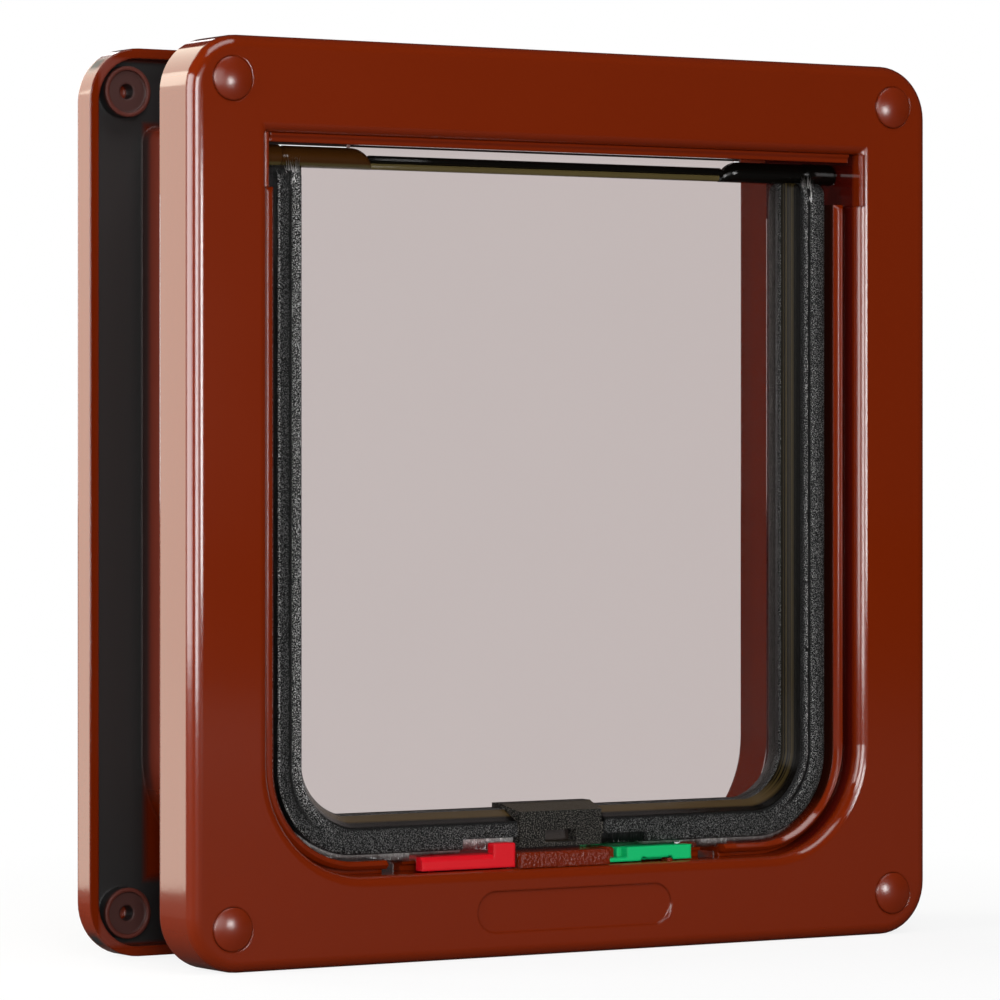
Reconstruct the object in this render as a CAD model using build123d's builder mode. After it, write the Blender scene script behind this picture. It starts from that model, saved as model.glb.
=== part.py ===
import os
from math import atan, degrees

from build123d import *

# Cat flap for a door: x to the right, y from the room towards outdoors, z up, in millimetres.
# Depths are counted from the front face of the front frame towards outdoors.

# Both frames
frame_width = 194.0
frame_height = 200.0
frame_corner = 12.0
frame_wall = 2.2
face_thickness = 2.5
front_depth = 14.1
rear_depth = 7.0
door_thickness = 32.0
front_edge_radius = 2.6
rear_edge_bevel = 1.2
rear_rim_bevel = 1.5

# Opening in the front face, by the width of face left round it
face_side = 19.1
face_top = 20.6
face_bottom = 19.3
opening_lower_radius = 24.5
opening_edge_radius = 2.2

# Telescoping tunnel: a spigot on the front frame inside a sleeve on the rear frame
spigot_wall = 1.6
spigot_end = 38.0
sleeve_clearance = 0.5
sleeve_wall = 1.6
sleeve_start = 22.0

# Screw points: a cap over each screw hole in front, a blind boss behind the door
screw_inset_x = 10.0
screw_inset_z = 9.5
cap_radius = 4.7
cap_height = 1.2
cap_rim = 0.3
cap_length = 2.6
cap_gap = 0.08
screw_seat_depth = 4.4
screw_hole_radius = 2.1
front_boss_radius = 6.3
boss_setback = 1.0
rear_boss_radius = 5.6
rear_boss_ring = 0.9
rear_boss_step = 0.7
pilot_radius = 1.7
pilot_depth = 4.6

# Bare name plate recess in the lower face
plate_length = 51.0
plate_height = 9.1
plate_rise = 10.1
plate_depth = 0.35

# Rounded sealing ring in the opening, open at the top and at the lock channel
ring_groove = 1.0
ring_side = 2.9
ring_sill = 1.9
ring_front = 4.5
ring_back = 17.5
ring_drop = 11.4
ring_bevel = 0.9
web_front = 7.5
web_thickness = 2.0

# Flap: smoked moulding with a thin window inside a deep border
flap_side_gap = 1.7
flap_sill_gap = 1.3
flap_front = 6.0
flap_thickness = 11.0
border_side = 9.0
border_sill = 8.5
border_bevel = 3.3
border_drop = 3.0
border_bevel_edge = 0.6
border_top_round = 3.6
window_front = 12.0
window_thickness = 1.6
valley_inset = 4.1
valley_width = 1.8
valley_depth = 0.9
hinge_drop = 4.7
bar_radius = 1.0
lip_rise = 2.6
lump_radius = 2.7
lump_inset = 9.2
lump_length = 17.2
lump_taper = 4.0
neck_radius = 2.0
neck_length = 0.6
disc_radius = 3.3
pin_radius = 1.9
hinge_end_gap = 0.5
pin_running_gap = 0.05
pin_recess = 0.2

# Brush seal: a pile strip in a groove round the edge of the flap
groove_front = 9.8
groove_width = 3.2
groove_depth = 1.6
groove_drop = 3.0
seat_gap = 0.1
soft_gap = 0.3

# Magnet carrier clipped into the lower border of the flap
carrier_width = 46.0
carrier_top_rise = 4.9
carrier_notch = 2.4
carrier_recess = 0.6
housing_front = 6.2
housing_middle = 13.0
housing_front_width = 21.6
housing_width = 24.0
housing_front_rise = 7.9
housing_rise = 9.5
housing_round = 0.5
magnet_length = 16.0
magnet_depth = 4.0
magnet_height = 3.4
magnet_floor = 1.0
peep_width = 8.2
peep_height = 2.6

# Lock slides: one moulding, used twice, the second turned half round
slide_travel = 7.0
slide_lift = 0.3
slide_front = 2.5
slide_bar_depth = 2.7
slide_bar_height = 3.0
slide_bar_bevel = 0.9
slide_length = 24.0
tab_length = 5.5
tab_height = 5.4
tab_round = 0.5
web_height = 3.0
slide_wall_length = 22.0
slide_wall_height = 3.2
slide_wall_step = 4.8
slide_step_height = 0.9
slide_shift = 3.8
detent_radius = 0.85
detent_first = 5.7
detent_rise = 0.6
nib_radius = 0.65
stop_gap = 0.3

# Rail in the sill that holds the lock slides down
stem_width = 3.0
stem_height = 1.4
head_width = 5.0
head_height = 0.8
rail_gap = 0.3
rail_end_gap = 1.5

# Block between the lock slides, with the sill magnet inside
sill_block_front = 1.2
sill_block_half = 13.6
sill_block_height = 3.5
sill_block_round = 0.8
sill_magnet_length = 18.0
sill_magnet_depth = 6.0
sill_magnet_height = 2.0

# Covers at both ends of the hinge
cover_width = 1.2
cover_height = 11.8
cover_depth = 8.0
cover_bevel = 0.4

# Strip that closes the gap above the hinge
retainer_front = 1.6
retainer_depth = 2.2
retainer_height = 1.9
retainer_lip = 0.5
retainer_left_gap = 1.0
retainer_right_gap = 2.1

# Places worked out from the sizes above
rear_start = front_depth + door_thickness
rear_end = rear_start + rear_depth
front_y = cap_height - (cap_height + rear_end) / 2
opening_half = frame_width / 2 - face_side
opening_bottom = face_bottom
opening_top = frame_height - face_top
ring_half = opening_half - ring_groove - ring_side
ring_bottom = opening_bottom + ring_groove + ring_sill
ring_top = opening_top - ring_drop
ring_radius = opening_lower_radius - ring_groove - ring_side
flap_half = ring_half - flap_side_gap
flap_bottom = ring_bottom + flap_sill_gap
flap_radius = ring_radius - flap_side_gap
flap_back = flap_front + flap_thickness
hinge_depth = flap_front + flap_thickness / 2
hinge_y = front_y + hinge_depth
hinge_height = opening_top - hinge_drop
lump_end = opening_half - lump_inset
lump_start = lump_end - lump_length
disc_start = lump_end + neck_length
disc_end = opening_half - hinge_end_gap
pin_end = opening_half + spigot_wall - pin_recess
border_top = hinge_height - border_drop
window_half = flap_half - border_side
window_bottom = flap_bottom + border_sill
window_radius = flap_radius - (border_side + border_sill) / 2 + border_bevel
window_back = window_front + window_thickness
groove_top = border_top - groove_drop
slide_bottom = opening_bottom + slide_lift
slide_inner = sill_block_half + rail_end_gap / 2
slide_outer = slide_inner + slide_length
slide_back = 2 * hinge_depth - slide_front
slide_wall_front = slide_back - slide_bar_depth
wall_inner = slide_inner - slide_shift
wall_outer = wall_inner + slide_wall_length
channel_left = slide_outer + slide_travel + stop_gap
channel_right = wall_outer + slide_travel + slide_shift
dome_height = cap_height - cap_rim
dome_radius = (cap_radius**2 + dome_height**2) / (2 * dome_height)
overlap = 1.0
pick_band = 0.1
screw_points = [
    (side * (frame_width / 2 - screw_inset_x), height)
    for side in (-1, 1)
    for height in (screw_inset_z, frame_height - screw_inset_z)
]


def facing(depth):
    """Plane that faces the room, at a depth behind the front face."""
    return Plane.XZ.offset(-(front_y + depth))


def outline(half_width, bottom, top, lower_radius, upper_radius=0.0, mode=Mode.ADD):
    """Doorway outline, drawn in the open sketch: round lower corners, tight upper ones."""
    with BuildLine() as edge:
        FilletPolyline(
            (-half_width, bottom),
            (half_width, bottom),
            (half_width, top),
            (-half_width, top),
            radius=(lower_radius, lower_radius, upper_radius, upper_radius),
            close=True,
        )
    make_face(edge.edges(), mode=mode)


def tunnel_outline(growth):
    """Outline of the opening, grown outwards by a wall or a clearance."""
    outline(
        opening_half + growth,
        opening_bottom - growth,
        opening_top + growth,
        opening_lower_radius + growth,
        growth,
    )


def frame_outline(inset):
    """Outline of a frame, moved inwards by its wall."""
    with Locations((0, frame_height / 2)):
        RectangleRounded(frame_width - 2 * inset, frame_height - 2 * inset, frame_corner - inset)


def bounded(x_low, x_high, z_low, z_high, mode=Mode.ADD):
    """Rectangle in the open sketch, given by its limits."""
    with Locations(((x_low + x_high) / 2, (z_low + z_high) / 2)):
        Rectangle(x_high - x_low, z_high - z_low, mode=mode)


def cover_outline(side):
    """Front outline of the hinge cover on one side, drawn in the open sketch."""
    edges = sorted((side * opening_half, side * (opening_half + cover_width)))
    bounded(*edges, opening_top - cover_height, opening_top)


def rail_section(stem, head, stem_rise, head_rise, foot):
    """T-shaped section across the sill rail, drawn in the open sketch."""
    bounded(hinge_y - stem / 2, hinge_y + stem / 2, foot, stem_rise)
    bounded(hinge_y - head / 2, hinge_y + head / 2, stem_rise, head_rise)


# Front frame: a hollow tray with the opening, the spigot, the sealing ring and the lock sill
with BuildPart() as front_frame:
    with BuildSketch(facing(0)):
        frame_outline(0)
    extrude(amount=-front_depth)
    front_face = front_frame.faces().sort_by(Axis.Y)[0]
    fillet(front_face.outer_wire().edges(), front_edge_radius)
    with BuildSketch(facing(face_thickness)):
        frame_outline(frame_wall)
    extrude(amount=-(front_depth - face_thickness), mode=Mode.SUBTRACT)

    # Tunnel spigot and the opening through it
    with BuildSketch(facing(face_thickness / 2)):
        tunnel_outline(spigot_wall)
    extrude(amount=-(spigot_end - face_thickness / 2))
    with BuildSketch(facing(0)):
        tunnel_outline(0)
    extrude(amount=-spigot_end, mode=Mode.SUBTRACT)
    opening_rim = front_frame.faces().sort_by(Axis.Y)[0].inner_wires()
    fillet(opening_rim.edges(), opening_edge_radius)

    # Sealing ring with a rounded front, and the web that carries it
    with BuildSketch(facing(ring_front)):
        outline(
            opening_half - ring_groove,
            opening_bottom + ring_groove,
            ring_top,
            opening_lower_radius - ring_groove,
        )
        outline(ring_half, ring_bottom, ring_top + overlap, ring_radius, mode=Mode.SUBTRACT)
    extrude(amount=-(ring_back - ring_front))
    ring_y = front_y + ring_front
    cross_faces = front_frame.faces().filter_by(Plane.XZ)
    ring_nose = cross_faces.filter_by_position(Axis.Y, ring_y - pick_band, ring_y + pick_band)
    chamfer(ring_nose.edges(), ring_bevel)
    with BuildSketch(facing(web_front)):
        outline(
            opening_half + spigot_wall / 2,
            opening_bottom - spigot_wall / 2,
            ring_top,
            opening_lower_radius + spigot_wall / 2,
        )
        outline(ring_half, ring_bottom, ring_top + overlap, ring_radius, mode=Mode.SUBTRACT)
    extrude(amount=-web_thickness)

    # Lock channel across the sill, with a rail and a detent nib for each slide
    with BuildSketch(facing(ring_front)):
        bounded(-channel_left, channel_right, opening_bottom, ring_bottom + overlap)
    extrude(amount=-(ring_back - ring_front), mode=Mode.SUBTRACT)
    for side in (-1, 1):
        with BuildSketch(Plane.YZ.offset(side * (sill_block_half + rail_end_gap))):
            rail_section(
                stem_width,
                head_width,
                opening_bottom + stem_height,
                opening_bottom + stem_height + head_height,
                opening_bottom - spigot_wall / 2,
            )
        extrude(amount=side * (wall_outer + slide_travel - sill_block_half - rail_end_gap))
        nib_front = slide_front if side > 0 else slide_wall_front
        with BuildSketch(facing(nib_front)):
            with Locations((side * (wall_outer - detent_first), opening_bottom)):
                Circle(nib_radius)
        extrude(amount=-slide_bar_depth)

    # Hinge holes in the side walls
    with BuildSketch(Plane.YZ):
        with Locations((hinge_y, hinge_height)):
            Circle(pin_radius + pin_running_gap)
    extrude(amount=opening_half + spigot_wall + overlap, both=True, mode=Mode.SUBTRACT)

    # Screw points: a boss behind the face, with a stepped hole through it
    with BuildSketch(facing(face_thickness / 2)):
        with Locations(*screw_points):
            Circle(front_boss_radius)
    extrude(amount=-(front_depth - boss_setback - face_thickness / 2))
    for radius, depth in (
        (cap_radius + cap_gap, screw_seat_depth),
        (screw_hole_radius, front_depth),
    ):
        with BuildSketch(facing(0)):
            with Locations(*screw_points):
                Circle(radius)
        extrude(amount=-depth, mode=Mode.SUBTRACT)

    # Pockets for the hinge covers
    with BuildSketch(facing(0)):
        for side in (-1, 1):
            cover_outline(side)
    extrude(amount=-cover_depth, mode=Mode.SUBTRACT)

    # Bare name plate
    with BuildSketch(facing(0)):
        with Locations((0, plate_rise)):
            SlotOverall(plate_length, plate_height)
    extrude(amount=-plate_depth, mode=Mode.SUBTRACT)
front_frame.part.label = "front_frame"


def screw_cap(x, z):
    """Cap over one screw: a button with a domed top, pressed into the screw's recess."""
    with BuildPart() as cap:
        with BuildSketch(facing(-cap_height)):
            with Locations((x, z)):
                Circle(cap_radius)
        extrude(amount=-cap_length)
        with Locations((x, front_y - cap_height + dome_radius, z)):
            Sphere(dome_radius, mode=Mode.INTERSECT)
    return cap


def hinge_cover(side):
    """Cover in the wall of the opening, in front of one hinge pin."""
    with BuildPart() as cover:
        with BuildSketch(facing(0)):
            cover_outline(side)
        extrude(amount=-cover_depth)
        inner_front = cover.faces().sort_by(Axis.Y)[0].edges().filter_by(Axis.Z).sort_by(Axis.X)
        chamfer(inner_front[0 if side > 0 else -1], cover_bevel)
    return cover


screw_cap_lower_left, screw_cap_upper_left, screw_cap_lower_right, screw_cap_upper_right = (
    screw_cap(x, z) for x, z in screw_points
)
screw_cap_lower_left.part.label = "screw_cap_lower_left"
screw_cap_upper_left.part.label = "screw_cap_upper_left"
screw_cap_lower_right.part.label = "screw_cap_lower_right"
screw_cap_upper_right.part.label = "screw_cap_upper_right"
hinge_cover_left = hinge_cover(-1)
hinge_cover_left.part.label = "hinge_cover_left"
hinge_cover_right = hinge_cover(1)
hinge_cover_right.part.label = "hinge_cover_right"


# Rear frame: a shallow tray that faces the door, with the sleeve and the screw bosses
with BuildPart() as rear_frame:
    with BuildSketch(facing(rear_start)):
        frame_outline(0)
    extrude(amount=-rear_depth)
    rear_face = rear_frame.faces().sort_by(Axis.Y)[-1]
    chamfer(rear_face.outer_wire().edges(), rear_edge_bevel)
    with BuildSketch(facing(rear_start)):
        frame_outline(frame_wall)
    extrude(amount=-(rear_depth - face_thickness), mode=Mode.SUBTRACT)
    with BuildSketch(facing(sleeve_start)):
        tunnel_outline(spigot_wall + sleeve_clearance + sleeve_wall)
    extrude(amount=-(rear_end - face_thickness / 2 - sleeve_start))
    with BuildSketch(facing(sleeve_start)):
        tunnel_outline(spigot_wall + sleeve_clearance)
    extrude(amount=-(rear_end - sleeve_start), mode=Mode.SUBTRACT)
    rear_rim = rear_frame.faces().sort_by(Axis.Y)[-1].inner_wires()
    chamfer(rear_rim.edges(), rear_rim_bevel)

    # Stepped screw bosses with a blind pilot hole
    with BuildSketch(facing(rear_start + boss_setback)):
        with Locations(*screw_points):
            Circle(rear_boss_radius)
    extrude(amount=-(rear_depth - boss_setback - face_thickness / 2))
    for radius, depth in (
        (rear_boss_radius - rear_boss_ring, rear_boss_step),
        (pilot_radius, pilot_depth),
    ):
        with BuildSketch(facing(rear_start + boss_setback)):
            with Locations(*screw_points):
                Circle(radius)
        extrude(amount=-depth, mode=Mode.SUBTRACT)
rear_frame.part.label = "rear_frame"


# Flap: deep rounded border, thin window, hinge bar with barrels, discs and pins
with BuildPart() as flap:
    with BuildSketch(facing(flap_front)):
        outline(flap_half, flap_bottom, border_top, flap_radius)
    extrude(amount=-flap_thickness)
    slab_top = flap.faces().sort_by(Axis.Z)[-1]
    fillet(slab_top.edges().filter_by(Axis.X), border_top_round)
    front_rim = flap.faces().sort_by(Axis.Y)[0].edges()
    rear_rim = flap.faces().sort_by(Axis.Y)[-1].edges()
    chamfer((front_rim + rear_rim).filter_by(Axis.X, reverse=True), border_bevel_edge)

    # Groove for the brush seal
    with BuildSketch(facing(groove_front)):
        outline(flap_half + overlap, flap_bottom - overlap, groove_top, flap_radius + overlap)
        outline(
            flap_half - groove_depth,
            flap_bottom + groove_depth,
            groove_top + overlap,
            flap_radius - groove_depth,
            mode=Mode.SUBTRACT,
        )
    extrude(amount=-groove_width, mode=Mode.SUBTRACT)

    # Window: bevelled walls in front, drafted walls behind
    bevel_run = window_front - flap_front
    with BuildSketch(facing(window_front)):
        outline(window_half, window_bottom, hinge_height + lump_radius, window_radius)
    extrude(amount=bevel_run, taper=-degrees(atan(border_bevel / bevel_run)), mode=Mode.SUBTRACT)
    with BuildSketch(facing(window_back)):
        outline(window_half, window_bottom, hinge_height + lump_radius, window_radius)
    extrude(amount=-(flap_back - window_back), mode=Mode.SUBTRACT)

    # Valley along the face of the border, with sloping sides
    with BuildLine(facing(flap_front)) as valley_path:
        valley_half = flap_half - valley_inset
        FilletPolyline(
            (-valley_half, border_top + overlap),
            (-valley_half, flap_bottom + valley_inset),
            (valley_half, flap_bottom + valley_inset),
            (valley_half, border_top + overlap),
            radius=flap_radius - valley_inset,
        )
    with BuildSketch(Plane(valley_path.line @ 0, x_dir=(1, 0, 0), z_dir=valley_path.line % 0)):
        with BuildLine():
            Polyline(
                (-valley_width / 2, overlap),
                (-valley_width / 2, 0),
                (0, -valley_depth),
                (valley_width / 2, 0),
                (valley_width / 2, overlap),
                close=True,
            )
        make_face()
    sweep(path=valley_path.line, mode=Mode.SUBTRACT)

    # Upper edge of the window and the hinge line
    with BuildSketch(facing(window_front)):
        bounded(-lump_end, lump_end, border_top - border_top_round, hinge_height)
        bounded(-lump_start, lump_start, hinge_height, hinge_height + lip_rise)
    extrude(amount=-window_thickness)
    with BuildSketch(Plane.YZ):
        with Locations((hinge_y, hinge_height)):
            Circle(bar_radius)
    extrude(amount=lump_start, both=True)
    for side in (-1, 1):
        with BuildSketch(Plane((0, hinge_y, hinge_height), x_dir=(side, 0, 0), z_dir=(0, -side, 0))):
            with BuildLine():
                Polyline(
                    (lump_start, lump_radius),
                    (lump_start - lump_taper, bar_radius),
                    (lump_start - lump_taper, 0),
                    (pin_end, 0),
                    (pin_end, pin_radius),
                    (disc_end, pin_radius),
                    (disc_end, disc_radius),
                    (disc_start, disc_radius),
                    (disc_start, neck_radius),
                    (lump_end, neck_radius),
                    (lump_end, lump_radius),
                    close=True,
                )
            make_face()
        revolve(axis=Axis((0, hinge_y, hinge_height), (1, 0, 0)))

    # Gap in the lower border for the magnet carrier
    with BuildSketch(facing(flap_front)):
        bounded(
            -carrier_width / 2,
            carrier_width / 2,
            flap_bottom - overlap,
            flap_bottom + carrier_top_rise,
        )
        bounded(-housing_width / 2, housing_width / 2, flap_bottom, flap_bottom + housing_rise)
    extrude(amount=-flap_thickness, mode=Mode.SUBTRACT)
flap.part.label = "flap"


def brush_strip(side):
    """Half of the brush seal, from the top of one side to the magnet carrier."""
    slide_top = slide_bottom + slide_wall_height
    with BuildPart() as strip:
        with BuildSketch(facing(groove_front + seat_gap)):
            outline(
                ring_half - soft_gap,
                slide_top + soft_gap,
                groove_top - seat_gap,
                flap_radius,
            )
            outline(
                flap_half - groove_depth + seat_gap,
                flap_bottom + groove_depth - seat_gap,
                groove_top + overlap,
                flap_radius - groove_depth + seat_gap,
                mode=Mode.SUBTRACT,
            )
        extrude(amount=-(groove_width - 2 * seat_gap))
        split(
            bisect_by=Plane.YZ.offset(side * (carrier_width / 2 + seat_gap)),
            keep=Keep.TOP if side > 0 else Keep.BOTTOM,
        )
    return strip


brush_seal_left = brush_strip(-1)
brush_seal_left.part.label = "brush_seal_left"
brush_seal_right = brush_strip(1)
brush_seal_right.part.label = "brush_seal_right"


# Magnet carrier: wings that continue the border above the lock notches, and the magnet housing
with BuildPart() as magnet_carrier:
    wing_bottom = flap_bottom + carrier_notch
    wing_top = flap_bottom + carrier_top_rise
    with BuildSketch(facing(flap_front + carrier_recess)):
        bounded(-carrier_width / 2, carrier_width / 2, wing_bottom, wing_top)
    extrude(amount=-(flap_thickness - 2 * carrier_recess))
    with BuildSketch(facing(housing_front)):
        bounded(
            -housing_front_width / 2,
            housing_front_width / 2,
            flap_bottom,
            flap_bottom + housing_front_rise,
        )
    with BuildSketch(facing(housing_middle)):
        bounded(-housing_width / 2, housing_width / 2, flap_bottom, flap_bottom + housing_rise)
    loft()
    with BuildSketch(facing(housing_middle)):
        bounded(-housing_width / 2, housing_width / 2, flap_bottom, flap_bottom + housing_rise)
    extrude(amount=-(flap_back - carrier_recess - housing_middle))

    # Pocket for the magnet, with a small window in front
    pocket_bottom = flap_bottom + magnet_floor
    with BuildSketch(facing(hinge_depth - magnet_depth / 2)):
        bounded(-magnet_length / 2, magnet_length / 2, pocket_bottom, pocket_bottom + magnet_height)
    extrude(amount=-magnet_depth, mode=Mode.SUBTRACT)
    with BuildSketch(facing(housing_front)):
        bounded(-peep_width / 2, peep_width / 2, pocket_bottom, pocket_bottom + peep_height)
    extrude(amount=-(hinge_depth - housing_front), mode=Mode.SUBTRACT)
magnet_carrier.part.label = "magnet_carrier"

with BuildPart() as flap_magnet:
    with BuildSketch(facing(hinge_depth - magnet_depth / 2)):
        bounded(-magnet_length / 2, magnet_length / 2, pocket_bottom, pocket_bottom + magnet_height)
    extrude(amount=-magnet_depth)
flap_magnet.part.label = "flap_magnet"


# Lock slide: bar and tab in front of the flap, web under it, wall behind it
with BuildPart() as lock_slide_red:
    with BuildSketch(facing(slide_front)):
        bounded(-slide_outer, -slide_inner, slide_bottom, slide_bottom + slide_bar_height)
    extrude(amount=-slide_bar_depth)
    bar_front = lock_slide_red.faces().sort_by(Axis.Y)[0]
    chamfer(bar_front.edges().sort_by(Axis.Z)[-1], slide_bar_bevel)
    with BuildSketch(facing(slide_front)):
        bounded(-slide_inner - tab_length, -slide_inner, slide_bottom, slide_bottom + tab_height)
        fillet(vertices().group_by(Axis.Y)[-1], tab_round)
    extrude(amount=-slide_bar_depth)
    with BuildSketch(facing(slide_front + slide_bar_depth)):
        bounded(-wall_outer, -slide_inner, slide_bottom, slide_bottom + web_height)
    extrude(amount=-(slide_wall_front - slide_front - slide_bar_depth))
    with BuildSketch(facing(slide_wall_front)):
        with BuildLine():
            wall_top = slide_bottom + slide_wall_height
            step_top = slide_bottom + slide_step_height
            FilletPolyline(
                (-wall_outer, slide_bottom),
                (-wall_inner, slide_bottom),
                (-wall_inner, step_top),
                (-wall_inner - slide_wall_step, step_top),
                (-wall_inner - slide_wall_step, wall_top),
                (-wall_outer, wall_top),
                radius=(0, 0, tab_round, tab_round / 2, 0, 0),
                close=True,
            )
        make_face()
        detent_x = -wall_outer + detent_first
        with Locations((detent_x, slide_bottom), (detent_x + slide_travel, slide_bottom)):
            Circle(detent_radius, mode=Mode.SUBTRACT)
        bounded(
            detent_x,
            detent_x + slide_travel,
            slide_bottom,
            slide_bottom + detent_rise,
            mode=Mode.SUBTRACT,
        )
    extrude(amount=-slide_bar_depth)

    # Slot for the rail
    with BuildSketch(Plane.YZ.offset(-slide_outer)):
        rail_section(
            stem_width + 2 * rail_gap,
            head_width + 2 * rail_gap,
            opening_bottom + stem_height - rail_gap,
            opening_bottom + stem_height + head_height + rail_gap,
            opening_bottom,
        )
    extrude(amount=slide_outer, mode=Mode.SUBTRACT)
lock_slide_red.part.label = "lock_slide_red"

with BuildPart() as lock_slide_green:
    add(lock_slide_red.part.rotate(Axis((0, hinge_y, 0), (0, 0, 1)), 180))
lock_slide_green.part.label = "lock_slide_green"


# Sill block: stops both lock slides and holds the sill magnet
with BuildPart() as sill_block:
    block_step = slide_inner - wall_inner
    with BuildSketch(Plane.XY.offset(opening_bottom)) as block_plan:
        with Locations((0, hinge_y)):
            Rectangle(2 * sill_block_half, 2 * (hinge_depth - sill_block_front))
        for side in (-1, 1):
            corner_y = hinge_y - side * (hinge_depth - sill_block_front)
            with Locations((side * sill_block_half, corner_y)):
                Rectangle(
                    2 * block_step,
                    2 * (slide_front + slide_bar_depth + stop_gap - sill_block_front),
                    mode=Mode.SUBTRACT,
                )
    extrude(amount=sill_block_height)
    fillet(sill_block.faces().sort_by(Axis.Z)[-1].edges(), sill_block_round)
    with BuildSketch(Plane.XY.offset(opening_bottom)):
        with Locations((0, hinge_y)):
            Rectangle(sill_magnet_length, sill_magnet_depth)
    extrude(amount=sill_magnet_height, mode=Mode.SUBTRACT)
sill_block.part.label = "sill_block"

with BuildPart() as sill_magnet:
    with BuildSketch(Plane.XY.offset(opening_bottom)):
        with Locations((0, hinge_y)):
            Rectangle(sill_magnet_length, sill_magnet_depth)
    extrude(amount=sill_magnet_height)
sill_magnet.part.label = "sill_magnet"


# Hinge retainer: strip under the top of the opening, with a small step along its face
with BuildPart() as hinge_retainer:
    retainer_y = front_y + retainer_front
    with BuildSketch(Plane.YZ.offset(-opening_half + retainer_left_gap)):
        with BuildLine():
            Polyline(
                (retainer_y, opening_top),
                (retainer_y, opening_top - retainer_lip),
                (retainer_y + retainer_lip, opening_top - 2 * retainer_lip),
                (retainer_y + retainer_lip, opening_top - retainer_height),
                (retainer_y + retainer_depth, opening_top - retainer_height),
                (retainer_y + retainer_depth, opening_top),
                close=True,
            )
        make_face()
    extrude(amount=2 * opening_half - retainer_left_gap - retainer_right_gap)
hinge_retainer.part.label = "hinge_retainer"


os.makedirs("parts", exist_ok=True)
for piece in (
    front_frame,
    screw_cap_lower_left,
    screw_cap_upper_left,
    screw_cap_lower_right,
    screw_cap_upper_right,
    hinge_cover_left,
    hinge_cover_right,
    rear_frame,
    flap,
    brush_seal_left,
    brush_seal_right,
    magnet_carrier,
    flap_magnet,
    lock_slide_red,
    lock_slide_green,
    sill_block,
    sill_magnet,
    hinge_retainer,
):
    export_step(piece.part, f"parts/{piece.part.label}.step")
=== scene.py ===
import math
import random

import bpy
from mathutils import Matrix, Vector


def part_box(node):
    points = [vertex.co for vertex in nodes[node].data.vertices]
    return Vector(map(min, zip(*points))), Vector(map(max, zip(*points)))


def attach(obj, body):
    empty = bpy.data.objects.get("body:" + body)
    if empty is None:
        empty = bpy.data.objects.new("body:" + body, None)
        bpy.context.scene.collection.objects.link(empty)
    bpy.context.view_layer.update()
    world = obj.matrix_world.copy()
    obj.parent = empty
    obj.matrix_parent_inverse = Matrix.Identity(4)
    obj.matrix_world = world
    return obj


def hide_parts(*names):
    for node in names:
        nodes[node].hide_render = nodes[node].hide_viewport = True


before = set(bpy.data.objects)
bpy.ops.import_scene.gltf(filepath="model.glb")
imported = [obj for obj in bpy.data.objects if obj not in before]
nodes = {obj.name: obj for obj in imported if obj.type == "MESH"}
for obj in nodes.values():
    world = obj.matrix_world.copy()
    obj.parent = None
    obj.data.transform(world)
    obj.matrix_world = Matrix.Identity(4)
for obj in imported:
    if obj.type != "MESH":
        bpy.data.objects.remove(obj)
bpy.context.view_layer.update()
scene = bpy.context.scene
print("frame loaded")

# Depths are counted in millimetres from the front face; the scene is in metres.
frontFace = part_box("front_frame")[0].y


def at(x, depth, z):
    return Vector((x / 1000, frontFace + depth / 1000, z / 1000))


# Node helpers and the two shared groups

def newNode(tree, kind, **inputs):
    node = tree.nodes.new(kind)
    for key, value in inputs.items():
        node.inputs[key.replace("_", " ")].default_value = value
    return node


def newGroup(name, colors, values):
    group = bpy.data.node_groups.new(name, "ShaderNodeTree")
    face = group.interface
    for label in colors:
        face.new_socket(label, in_out="INPUT", socket_type="NodeSocketColor")
    for label in values:
        face.new_socket(label, in_out="INPUT", socket_type="NodeSocketFloat")
    face.new_socket("Color", in_out="OUTPUT", socket_type="NodeSocketColor")
    face.new_socket("Roughness", in_out="OUTPUT", socket_type="NodeSocketFloat")
    face.new_socket("Normal", in_out="OUTPUT", socket_type="NodeSocketVector")
    source = group.nodes.new("NodeGroupInput")
    sink = group.nodes.new("NodeGroupOutput")
    return group, source, sink


def colorMix(tree, factor, low, high):
    mix = tree.nodes.new("ShaderNodeMix")
    mix.data_type = "RGBA"
    tree.links.new(factor, mix.inputs["Factor"])
    for value, key in ((low, "A"), (high, "B")):
        if isinstance(value, tuple):
            mix.inputs[key].default_value = (*value, 1)
        else:
            tree.links.new(value, mix.inputs[key])
    return mix.outputs["Result"]


def ranged(tree, value, low, high, toLow=0.0, toHigh=1.0):
    node = newNode(tree, "ShaderNodeMapRange")
    for key, given in (("From Min", low), ("From Max", high), ("To Min", toLow), ("To Max", toHigh)):
        if isinstance(given, (int, float)):
            node.inputs[key].default_value = given
        else:
            tree.links.new(given, node.inputs[key])
    tree.links.new(value, node.inputs["Value"])
    return node.outputs["Result"]


def calc(tree, operation, first, second):
    node = tree.nodes.new("ShaderNodeMath")
    node.operation = operation
    for socket, value in zip(node.inputs, (first, second)):
        if isinstance(value, (int, float)):
            socket.default_value = value
        else:
            tree.links.new(value, socket)
    return node.outputs["Value"]


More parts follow.
